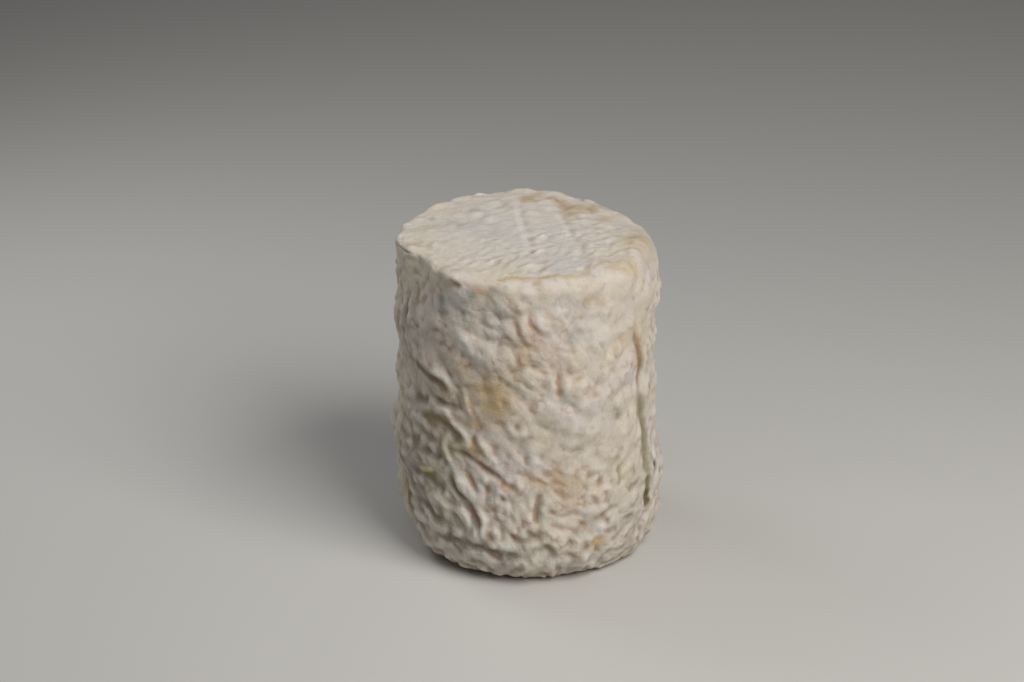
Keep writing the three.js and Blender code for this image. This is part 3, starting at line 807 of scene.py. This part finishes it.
def quads(index, flipped=False):
    """The four corners of every cell of an index grid, in turn, or the other way round if flipped."""
    corners = [index[:-1, :-1], index[1:, :-1], index[1:, 1:], index[:-1, 1:]]
    return np.stack(corners[::-1] if flipped else corners, -1).reshape(-1, 4)


ladder = np.vstack([end_index[BORDER], side_index, end_ring.size + end_index[BORDER]])
ladder = np.hstack([ladder, ladder[:, :1]])
ends = [quads(end_index, flipped=True), quads(end_ring.size + end_index)]
faces = np.concatenate([*ends, quads(ladder, flipped=True)])
print("points", len(coordinates), "triangles", 2 * len(faces))


# %% Put the arrays into a Blender mesh
def make_piece(name, points, corners):
    """A smooth-shaded mesh object at the origin, from points in millimetres and quads."""
    mesh = bpy.data.meshes.new(name)
    mesh.vertices.add(len(points))
    mesh.vertices.foreach_set("co", (points * MM).ravel())
    mesh.loops.add(corners.size)
    mesh.loops.foreach_set("vertex_index", corners.ravel())
    mesh.polygons.add(len(corners))
    mesh.polygons.foreach_set("loop_start", np.arange(0, corners.size, 4))
    mesh.polygons.foreach_set("loop_total", np.full(len(corners), 4))
    mesh.update(calc_edges=True)
    mesh.validate()
    mesh.polygons.foreach_set("use_smooth", np.ones(len(corners), bool))
    piece = bpy.data.objects.new(name, mesh)
    bpy.context.scene.collection.objects.link(piece)
    return piece


def add_values(piece, name, values):
    """One number for each point of the mesh, which a material can read by its name."""
    layer = piece.data.attributes.new(name, "FLOAT", "POINT")
    layer.data.foreach_set("value", values.astype(np.float32))


cheese = make_piece("ripened_cheese", coordinates, faces)
for name, *layer in zip(("hollow", "crease", "rough", "seam"), *[marks for _, marks in parts]):
    add_values(cheese, name, np.clip(np.concatenate([part.ravel() for part in layer]), -1, 1))
print("dressed drum, mm:", [round(float(size), 1) for size in np.ptp(coordinates, axis=0)])

# %% [markdown]
# ## Stains and moulds
# A natural rind is a garden: white mould over most of it, blue-grey where the air was damp, ochre and olive
# where it stayed wet, rust-brown specks and dark moss in the deepest pits. A grey-brown layer is part grime
# and part painted shade: it darkens the hollows of the shaded side, the lower left and the foot. They could
# be painted by hand, but as values on the mesh they follow the relief exactly, and the material can give them
# ragged edges. A stain is a run of places with a reach and a strength, like a brush stroke.

# %% The stains of the wall
# Each stain: reach and strength, then the azimuth and height of each place in turn.
WALL_STAINS = {
    "ochre": [
        (5.4, 1, -16.5, 53.5, -14, 50), (4, .5, -10, 57), (3, .45, -29, 58, -24, 55),
        (2.5, .7, -26, 50, -22, 44.5), (2.2, .8, -24, 38, -20, 36), (4, .4, -2, 66, -4, 62),
        (4, .4, 47, 63), (2, .6, 57, 64, 60, 54), (3, .35, 26, 79, 34, 77), (2.5, .3, 8, 80.5),
        (1.8, .9, 29, 11.5, 33.5, 11.3), (3, .35, 44, 26), (3, .35, 24, 30, 30, 27), (3, .4, -35, 80),
        (7, .7, 140, 40, 150, 36), (6, .6, -130, 60), (6, .5, -160, 20, -170, 24), (6, .5, 100, 62),
        (2, .5, -62, 14, -68, 20),
    ],
    "amber": [
        (1.4, .7, -21.5, 80.2, -16.5, 79.8), (1.5, .9, -.2, 31.4, 2, 30.5, 5.1, 29.9, 6.9, 28.9),
        (1.2, .9, 11, 32.8, 13.2, 32.1, 15, 31.4), (1.4, 1, 11.3, 29.6, 13.8, 28.9, 15, 27.8, 14.5, 26),
        (1.8, .5, 17, 27.5, 20, 27, 22, 28.5), (1.4, .6, -11, 29.3, -8, 28.5, -4.9, 28.1),
        (.9, .7, 11.3, 73.2, 14.1, 72.7, 16, 71.4), (1, .8, 1.3, 71.8, 4.4, 71.1, 5.7, 69.8),
        (1, .6, 7.6, 75.5, 10, 73.8), (1, .5, 21.2, 56.5, 24.4, 56), (1.2, .6, 13.8, 56, 14.1, 53),
        (1.2, .5, 21.9, 17.7, 24.4, 16), (1.1, .6, -9.5, 69, -7, 68), (1.3, .6, -3.3, 62, -1.2, 60.9),
        (1, .5, 25.6, 53.7, 29.3, 53, 32.4, 50.8), (3, .3, 16, 24, 20, 22), (1, .5, 28.7, 68.4, 29, 66.2),
        (1.4, .45, 2.6, 51.5, 2, 48.7), (1.3, .4, -25.2, 37.7, -24.5, 39.5), (1.4, .5, -39, 60, -36, 62),
        (1, .5, -12, 66, -10, 63), (1.4, .5, 176, 70, 168, 58, 172, 44), (2, .5, -115, 35, -110, 30),
        (2.4, .5, 150, 60, 144, 66), (2, .5, 95, 70), (2, .5, -165, 45),
    ],
    "blush": [
        (7, .5, 6, 66, 14, 60), (6, .5, 12, 32, 17, 25), (5, .4, -3, 73), (4, .35, 20, 18),
        (5, .35, -30, 60), (9, .5, 150, 60), (8, .5, -115, 35), (6, .4, -44, 62),
    ],
    "olive": [
        (1, 1, -33.5, 81.4, -30, 80.4), (1.9, 1.1, 61.4, 44, 63.2, 36, 63.8, 29, 63, 24),
        (1.6, 1.2, 62.6, 22, 62, 16), (3, .5, 66, 26), (2.4, .4, 60, 40),
        (2.2, .7, -52, 42.3, -47.8, 43, -43, 43.6), (1.2, .8, -41, 38.5, -40.5, 36, -38, 32.5, -36, 30),
        (2.2, 1.1, -50, 26, -45.5, 27.4), (2.2, .5, -40, 30), (4, .35, -58, 60),
        (2, .5, -33, 36.4, -29, 36), (4, .35, -56, 36), (2, .55, 40.5, 45.8, 44.9, 44.4),
        (1.2, .5, 36.8, 29.9, 39.3, 31.4, 43, 32.4, 44.9, 34.2), (1, .5, 42.7, 29.9, 43.3, 27, 43.6, 24.9),
        (1.2, .5, 25.6, 29.7, 31.8, 29.9, 32.4, 28.5), (6, .3, -70, 30), (3, .25, 16, 79),
        (6, .6, -150, 45, -144, 40), (6, .6, 165, 18), (3, .3, 12, 44),
    ],
    "blue": [
        (1.3, 1.2, -40.4, 75.4, -40, 73.2), (1, 1.1, -25.4, 79.3, -23.6, 78.4),
        (2.2, .7, -39.8, 73.4, -37, 72), (.9, 1.1, -27, 79.3, -23.6, 78.8), (.7, 1, -15.6, 81),
        (.8, 1, -9, 81.9), (1.2, .6, -15, 81), (5, .4, -30, 73), (3, .4, -9.9, 73.3), (2.5, .4, 21.9, 67.7),
        (3, .3, 16.4, 51.5), (7, .3, -60, 26), (7, .3, -30, 12), (3, .4, 5.5, 23), (6, .3, -5, 10),
        (7, .5, -100, 75), (8, .4, 130, 20),
    ],
    "rust": [
        (1, .9, 56.4, 62.4, 60, 57.4, 60.9, 53.5, 59.2, 50), (.7, .5, 60.6, 47, 61.6, 41),
        (.9, .9, 69.5, 27, 70, 25.5), (1.2, 1, -51, 9.1), (1.6, .8, -64, 14.6, -67, 19),
        (1.4, 1.4, 71.8, 23, 72.4, 21.8), (1, .5, -36, 12), (1.2, .7, 110, 50), (1.3, .7, -140, 30),
        (.8, .5, 4.7, 26.2),
    ],
    "chalk": [
        (2.3, 1.5, -34.6, 76.4, -33.6, 75.6), (1.4, .9, -64, 31.4, -62, 32), (1.8, .9, -23.4, 13.4),
        (1.7, .9, -11.5, 11.8), (4, .7, -48, 8, -40, 7), (2, .8, -22, 8.2), (1, 1, 8, 7.8),
        (3, .5, 0, 7.6, 10, 7.4), (3, .45, 14, 6.4, 26, 6, 40, 6), (2, .6, -58, 13.4, -46, 12.6),
        (1.6, .6, -31, 29, -25, 23.6), (1, .6, -26.6, 19, -26.6, 15.5), (.9, .6, -62, 40.4, -51, 40.5),
        (3, 1.2, -28.5, 66.4, -25, 65), (6, .4, 12, 76), (6, .4, 33, 68), (3, .5, 4, 36),
        (1.4, .9, -53.3, 24), (1.5, 1, -35.6, 31.4), (1.2, .6, -44.7, 21.9, -34.3, 19.8), (3, .5, -25, 14),
        (2.6, 1.1, 74, 27, 74.5, 18.5), (5, .3, 33, 34), (2, .8, 31.8, 14.5), (3, .4, -58, 15),
        (1, .6, -43.5, 45.1, -36.8, 45.8, -33, 42.6), (1.4, .6, -42, 55.5, -38, 54.6), (9, .5, -170, 70),
        (8, .4, 95, 40),
    ],
    "lilac": [
        (6, .5, -12, 66, -20, 60), (7, .5, 40, 17, 48, 15), (8, .4, 28, 45), (7, .4, 30, 70),
        (5, .4, -50, 38), (5, .5, -48, 16), (8, .4, -20, 26), (9, .4, -140, 70), (9, .4, 120, 35),
    ],
    "butter": [(.7, 1.4, -53.9, 26.8, -45.9, 28.5), (2.5, .6, 80, 70), (.9, .5, -39.5, 39, -38, 34)],
    # Grime and painted shade: grey-brown mould in the hollows, with painted shade over the lower left and
    # along the foot.
    "grime_and_painted_shade": [
        (3.5, .9, -60, 33, -52, 34, -45, 34), (3, .9, -56, 17.5, -48, 18, -41, 16.6),
        (2.4, .9, -58, 46.4, -51, 46.4), (2.2, .7, -50, 42.6, -42.6, 42.8, -36.7, 41.6, -32, 39.6),
        (2.4, .9, -60, 55.6, -50, 54, -42, 52.4), (2, .7, -46, 48, -34, 47.8, -31, 46.4),
        (2.4, 1, -58, 25, -48, 25, -40, 26), (2.4, 1, -38, 10.6, -26, 11, -17, 10.4, -9, 8.8),
        (2, .7, -36, 28, -29, 24, -24, 20, -23, 16), (5, .5, -66, 40, -64, 22), (4, .5, -70, 62, -64, 72),
        (1.4, .5, -34, 36, -24, 34.5, -13, 31), (5, .4, -32, 20), (1.6, .6, 6.9, 12.7, 11.3, 8.8),
        (2, .5, -2, 16.4, 6, 15), (3, .5, 36, 13.2, 50, 15.4), (10, .7, -66, 24, -52, 12, -38, 12),
        (11, .35, -40, 5, 0, 5, 45, 8), (9, .22, 10, 42, 26, 40), (9, .26, 30, 16, 52, 22),
        (9, .6, -120, 40, -130, 22), (8, .5, 150, 30), (7, .5, -165, 60),
    ],
    "moss": [
        (1.5, 1.4, 62.3, 17.4, 62.1, 16.2, 61.9, 15.4), (.8, .4, 62.6, 22.4, 62.4, 19),
        (1.4, 1.3, 71.4, 23.6, 71.6, 22.6),
    ],
    "tan": [
        (3, .5, -44, 52, -38, 50), (4, .5, -48, 40, -40, 43), (5, .5, -70, 55), (3, .5, 60, 60),
        (5, .5, -170, 40),
    ],
}
print("kinds of stain on the wall:", len(WALL_STAINS))

# %% The stains of the top
# Reach and strength, then x and y of each place in turn.
TOP_STAINS = {
    "ochre": [
        (5, .5, 27, -8, 28, 2), (5, .5, 24, -18), (3, .4, -29, -4),
        (1, .9, -6.4, -28.8, -4, -27.2, -.8, -27.6, 4, -28, 7.2, -26.4),
        (1, .7, 7.2, -26.4, 8.8, -28, 13.6, -26.4, 15.2, -22.4, 18.4, -19.2, 21.6, -16.8),
        (2.5, .6, 0, 24, 3, 26), (4, .6, 12, 17, 15, 18), (3, .5, 20, 14), (1.5, .9, 2.4, -30.5),
        (2.4, .4, -20, -22),
    ],
    "tan": [
        (2.2, .6, .4, 22.8), (2, .8, 7, 25, 9, 22.5), (2, .7, 10, 20, 14, 18.5, 17, 17),
        (2, .5, 10.5, 17, 12, 13.5), (1.2, .9, 20, 13.8, 20.3, 11.5), (1.3, .5, -7, -18),
    ],
    "rust": [(.8, .4, 8, 23), (.7, .5, 20, 13.6)],
    "blue": [
        (8, .2, -20, 6, -8, 2), (5, .22, -22, 9, -14, 7), (.8, .9, -24, 11.5, -23.8, 9.5), (5, .4, 8, -19),
        (3, .4, -12, 16),
    ],
    "olive": [(3, .35, -6, 19), (2.5, .4, -28.5, -6), (3, .3, 17, 20)],
    "chalk": [
        (4, .4, -8, 18), (4, .4, 9, -20), (4, .3, -16, -4), (.9, .6, -2.5, 18, -1.5, 4, 0, -8),
        (.9, .6, 7.6, 15, 9.4, 6, 10.6, -3),
    ],
    "lilac": [(16, 1, -6, 2, 6, -4), (9, .9, 8, -18)],
}
print("kinds of stain on the top:", len(TOP_STAINS))

# %% Spread the stains over the mesh
EDGE_HEIGHT = HEIGHT - 0.5
EVERY, STAIN_REACH, SEEN_FROM = 3, 2.6, 0.3


def centres_of(run, on_wall):
    """Points in space along a run of places, at most a millimetre or so apart."""
    places = pairs(run)
    if len(places) > 1:
        places = stroke_points(places)[0][::EVERY]
    if on_wall:
        heights = np.minimum(places[:, 1], EDGE_HEIGHT)
        return on_drum(places[:, 0], wall_radius(places[:, 0], heights), heights)
    return np.column_stack([places, np.full(len(places), HEIGHT)])


def stain(name):
    """The strongest of a kind's stains at each point: strength times a bell of distance over reach."""
    strongest = np.zeros(len(coordinates))
    for stains, on_wall in ((WALL_STAINS, True), (TOP_STAINS, False)):
        for reach, strength, *run in stains.get(name, []):
            for centre in centres_of(run, on_wall):
                near = np.nonzero(np.abs(coordinates - centre).max(1) < STAIN_REACH * reach)[0]
                value = strength * bell(np.linalg.norm(coordinates[near] - centre, axis=1), reach)
                strongest[near] = np.maximum(strongest[near], value)
    return strongest


for name in WALL_STAINS:
    values = stain(name)
    add_values(cheese, name, values)
    print(name, "covers", round(float((values > SEEN_FROM).mean()) * 100, 1), "% of the points")

# %% [markdown]
# ## The rind's material
# The rind is a mat of white mould threads, pressed flat by turning. It is matt, a little translucent and
# softly felted, with no gloss anywhere. Its colour is built in layers: a warm ivory that drifts in
# brightness, paler crests that are part chalky mould and part painted highlight, brown hollows, creases and
# seams that are part damp tint and part painted shade, and then the stains. The finest grain is a
# fifth of a millimetre, which the mesh cannot carry, so it is left to bump.


# %% Colours and a node helper
def linear(hex_colour):
    """An sRGB hex colour as linear parts and one: each part over 255, with the sRGB curve undone."""
    parts = [int(hex_colour[i:i + 2], 16) / 255 for i in (1, 3, 5)]
    return (*[p / 12.92 if p <= 0.04045 else ((p + 0.055) / 1.055) ** 2.4 for p in parts], 1.0)


def add_node(tree, kind, settings=None, **links):
    """A node of the kind, with its settings, and each named input set to a value or joined to a socket. An
    input is named with underscores for blanks, or by i and its number."""
    node = tree.nodes.new(kind)
    for name, value in (settings or {}).items():
        setattr(node, name, value)
    for name, value in links.items():
        socket = node.inputs[int(name[1:]) if name[1:].isdigit() else name.replace("_", " ")]
        if isinstance(value, bpy.types.NodeSocket):
            tree.links.new(value, socket)
        else:
            socket.default_value = value
    return node


def new_material(name, **values):
    """A node material with its output and its Principled shader, joined, and the shader's values set."""
    material = bpy.data.materials.new(name)
    material.use_nodes = True
    tree = material.node_tree
    tree.nodes.clear()
    shader = add_node(tree, "ShaderNodeBsdfPrincipled", **values)
    add_node(tree, "ShaderNodeOutputMaterial", Surface=shader.outputs["BSDF"])
    return material, tree, shader


print("ivory as linear colour:", [round(part, 2) for part in linear("#D6CCB9")])

# %% The rind and what its colour reads
PER_METRE = 1000.0
# Mould felt over soft fat paste: rough, hardly shiny, and lit a millimetre deep, red light furthest.
rind, tree, shader = new_material(
    "bloomy_goat_cheese_rind", Roughness=0.78, IOR=1.42, Specular_IOR_Level=0.35,
    Subsurface_Weight=0.15, Subsurface_Radius=(1.0, 0.7, 0.45), Subsurface_Scale=MM)
place = add_node(tree, "ShaderNodeTexCoord").outputs["Object"]


def noise(spacing, detail=3.0, roughness=0.55):
    """Noise whose blotches are about the spacing across, in millimetres, in Object coordinates."""
    values = dict(Vector=place, Scale=PER_METRE / spacing, Detail=detail, Roughness=roughness)
    return add_node(tree, "ShaderNodeTexNoise", **values).outputs["Fac"]


def remap(value, low, high, to_low=0.0, to_high=1.0):
    """The value moved from one range to another and held inside it."""
    values = dict(Value=value, From_Min=low, From_Max=high, To_Min=to_low, To_Max=to_high)
    return add_node(tree, "ShaderNodeMapRange", dict(clamp=True), **values).outputs["Result"]


def times(a, b, plus=0.0):
    """The first number times the second, plus the third."""
    return add_node(tree, "ShaderNodeMath", dict(operation="MULTIPLY_ADD"), i0=a, i1=b, i2=plus).outputs[0]


def mixed(share, first, second):
    """The first colour moved towards the second by the share."""
    return add_node(tree, "ShaderNodeMix", dict(data_type="RGBA"), i0=share, i6=first, i7=second).outputs[2]


def attribute(name):
    """A number that the mesh holds for each of its points."""
    return add_node(tree, "ShaderNodeAttribute", dict(attribute_name=name)).outputs["Fac"]


# %% The layers of colour
hollow = attribute("hollow")
drift, blotch, speckle, fleck = noise(14), noise(4.5), noise(1.1), noise(.5, 2)
# The hollows' colour: part the damp rind's brown, part painted shade.
damp_and_painted_shade = mixed(remap(drift, .42, .58), linear("#A88B75"), linear("#978573"))
colour = mixed(remap(drift, .35, .65), linear("#D3C9C3"), linear("#D6CCB9"))
# The paler crests are part chalky mould and part painted highlight; the brown hollows, creases and seams are
# part the rind's damp tint and part painted shade.
# Each layer: what it follows, where it starts and is full, how much of it there is then, and its colour.
RIND_LAYERS = [
    (blotch, .35, .7, .5, linear("#C6B9A5")), (attribute("lilac"), .05, .9, .75, linear("#CFC8C3")),
    (hollow, -.1, -.8, .7, linear("#E3DDD3")), (hollow, .12, 1, .6, damp_and_painted_shade),
    (attribute("crease"), .2, 1, .45, linear("#A0755C")), (attribute("seam"), .15, .9, .5, linear("#A0745A")),
]
for followed, start, full, most, shade in RIND_LAYERS:
    colour = mixed(remap(followed, start, full, 0, most), colour, shade)
# Each kind of stain, from the bottom up: its colour and how much of it there is at its strongest.
STAINS = {
    "grime_and_painted_shade": ("#776C5D", .8), "blush": ("#C9B09B", .5), "ochre": ("#BA9D6D", .8), "olive": ("#898262", .75),
    "blue": ("#7F8E8D", .65), "amber": ("#B38F67", .55), "tan": ("#A78E6E", .75), "rust": ("#7C5A3C", .8),
    "chalk": ("#E2DED6", .7), "butter": ("#DDD3A2", .9), "moss": ("#61522D", .9),
}
# Noise added to a stain's strength makes its edge ragged. It shows from a half and is full at 1.4.
ragged = times(blotch, .9, plus=times(speckle, .2, plus=-.1))
for name, (hex_colour, most) in STAINS.items():
    strength = attribute(name)
    share = times(remap(times(strength, 1.0, plus=ragged), .5, 1.4, 0, most), remap(strength, .03, .2))
    # The grime and painted shade darkens the hollows most.
    if name == "grime_and_painted_shade":
        share = times(share, remap(hollow, -.4, .2, .15, 1))
    colour = mixed(share, colour, linear(hex_colour))
print("layers of colour:", len(RIND_LAYERS) + len(STAINS))

# %% Specks, flecks and felt
colour = mixed(remap(speckle, .56, .72, 0, .25), colour, linear("#A39A8A"))
# White flecks keep to the crests, because the mould is rubbed or wet in the hollows.
flecks = times(remap(fleck, .55, .7, 0, .38), remap(hollow, .4, -.3, .25, 1))
tree.links.new(mixed(flecks, colour, linear("#E4E0DA")), shader.inputs["Base Color"])
grain = times(noise(1.0), 1.8, plus=noise(.4, 2))
FELT_DEPTH = 0.16 * MM
felted = remap(attribute("rough"), .2, 1, .3, .85)
felt = add_node(tree, "ShaderNodeBump", Strength=felted, Distance=FELT_DEPTH, Height=grain)
tree.links.new(felt.outputs["Normal"], shader.inputs["Normal"])
cheese.data.materials.append(rind)
print("rind nodes:", len(tree.nodes))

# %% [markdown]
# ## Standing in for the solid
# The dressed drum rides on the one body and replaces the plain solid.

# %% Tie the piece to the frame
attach(cheese, "root")
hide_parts("cheese_drum")
print(cheese.name, "stands in for cheese_drum")

# %% [markdown]
# ## Floor, light and camera
# The light in the photograph is one broad window-like source from the right and above, with a dim fill. The
# drum's left side stays in shade, and a thin line of light runs down its far left edge. Area lights give
# that, over a plain pale floor.

# %% The floor
FLOOR_HALF = 3.0
floor_mesh = bpy.data.meshes.new("floor")
floor_corners = [(x * FLOOR_HALF, y * FLOOR_HALF, 0) for x, y in ((-1, -1), (1, -1), (1, 1), (-1, 1))]
floor_mesh.from_pydata(floor_corners, [], [(0, 1, 2, 3)])
floor = bpy.data.objects.new("floor", floor_mesh)
bpy.context.scene.collection.objects.link(floor)
floor.data.materials.append(new_material("pale_paper_floor", Base_Color=linear("#CFCDC9"), Roughness=0.9)[0])
print("floor", 2 * FLOOR_HALF, "m across")

# %% The lights
# Each light: azimuth and elevation in degrees, distance and size in metres, power in watts, and colour.
LIGHTS = {
    "window": (41, 45, 0.58, 0.36, 2.85, "#FFFDF9"),
    "fill": (-62, 64, 0.24, 0.16, 0.06, "#F4F6FA"),
    "far_edge": (-125, 36, 0.35, 0.15, 0.23, "#FFFFFF"),
}
WORLD_COLOUR, WORLD_STRENGTH = "#DDE1E6", 0.09
cheese_middle = Vector((0, 0, HEIGHT / 2 * MM))
for name, (azimuth, elevation, distance, size, power, hex_colour) in LIGHTS.items():
    data = bpy.data.lights.new(name, "AREA")
    data.size, data.energy, data.color = size, power, linear(hex_colour)[:3]
    light = bpy.data.objects.new(name, data)
    a, e = math.radians(azimuth), math.radians(elevation)
    away = Vector((math.sin(a) * math.cos(e), -math.cos(a) * math.cos(e), math.sin(e)))
    light.location = cheese_middle + away * distance
    light.rotation_euler = away.to_track_quat("Z", "Y").to_euler()
    bpy.context.scene.collection.objects.link(light)
world = bpy.data.worlds.new("soft_studio")
world.use_nodes = True
background = world.node_tree.nodes["Background"]
background.inputs["Color"].default_value = linear(WORLD_COLOUR)
background.inputs["Strength"].default_value = WORLD_STRENGTH
bpy.context.scene.world = world
bpy.context.scene.view_settings.view_transform = "Standard"
print("lights:", list(LIGHTS))

# %% The camera
# The outline fits a camera 0.70 m away that looks down 24.3 degrees through a lens of 97 mm.
CAMERA_DISTANCE, CAMERA_DOWN, CAMERA_LENS = 0.70, 24.3, 96.8
SENSOR, NEAREST = 36.0, 0.01
CAMERA_AIM = Vector((-0.0037, 0, 0.0532))
down = math.radians(CAMERA_DOWN)
lens = bpy.data.cameras.new("camera")
lens.lens, lens.sensor_width, lens.clip_start = CAMERA_LENS, SENSOR, NEAREST
camera = bpy.data.objects.new("camera", lens)
camera.location = CAMERA_AIM + Vector((0, -math.cos(down), math.sin(down))) * CAMERA_DISTANCE
camera.rotation_euler = (QUARTER - down, 0, 0)
bpy.context.scene.collection.objects.link(camera)
bpy.context.scene.camera = camera
print("camera at", [round(c, 3) for c in camera.location])
